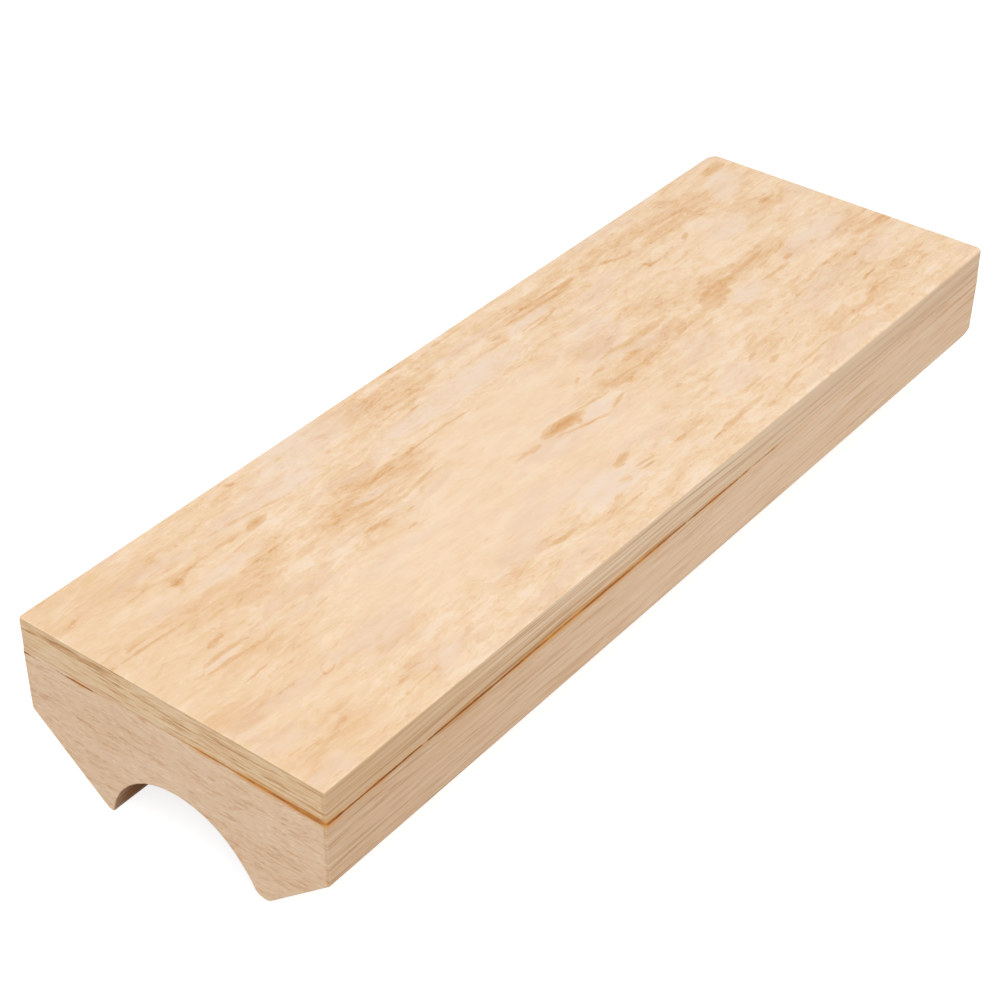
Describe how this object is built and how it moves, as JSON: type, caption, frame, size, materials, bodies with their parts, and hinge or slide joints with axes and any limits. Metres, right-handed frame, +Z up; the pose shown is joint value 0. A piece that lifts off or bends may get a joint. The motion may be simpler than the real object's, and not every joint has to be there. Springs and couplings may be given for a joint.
{
  "type": "strop block",
  "caption": "Bench strop for honing carving blades: a flat pale stropping plate glued on a bevelled wooden grip block with a cove along its underside.",
  "frame": {"origin": "on the resting plane under the feet, below the middle of the block", "axes": "+X along the length, +Y across the width towards the back side, +Z up through the stropping face"},
  "size_m": [0.2, 0.066, 0.0331],
  "materials": {
    "block_wood": "bare, fine sanded, matt",
    "glue": "hardened brown glue, sanded flush",
    "plate_wood": "bare, fine sanded, matt, mottled face"
  },
  "bodies": {
    "root": {"base_block": "block_wood", "glue_film": "glue", "strop_plate": "plate_wood"}
  },
  "joints": []
}
